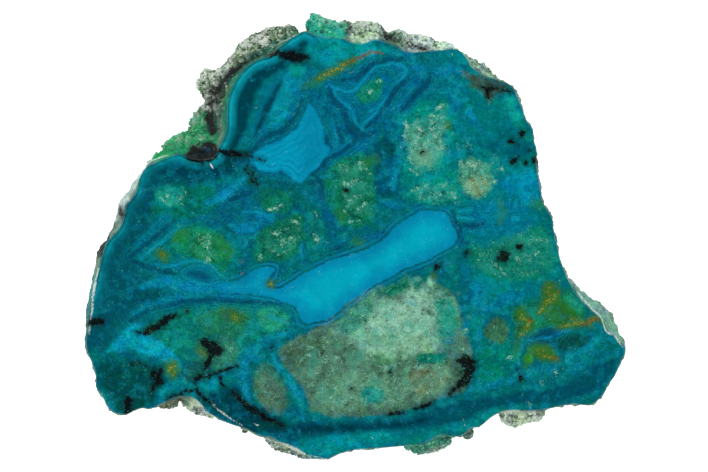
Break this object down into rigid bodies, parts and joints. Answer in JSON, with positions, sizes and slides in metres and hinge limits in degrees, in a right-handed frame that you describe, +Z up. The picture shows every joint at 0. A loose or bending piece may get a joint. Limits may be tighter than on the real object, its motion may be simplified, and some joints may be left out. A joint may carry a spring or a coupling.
{
  "type": "polished chrysocolla slice",
  "caption": "Flat slab of blue-green chrysocolla with quartz, polished on top, sawn flat behind, with its natural lumpy rim.",
  "frame": {"origin": "under the middle of the outline, on the sawn back", "axes": "+Z up out of the polished face, +X along the slab's greatest width, +Y towards the narrower top of the outline"},
  "size_m": [0.0904, 0.0748, 0.0055],
  "materials": {
    "stone": "polished face, sawn back, rough natural rim"
  },
  "bodies": {
    "root": {"chrysocolla_slice": "stone"}
  },
  "joints": []
}
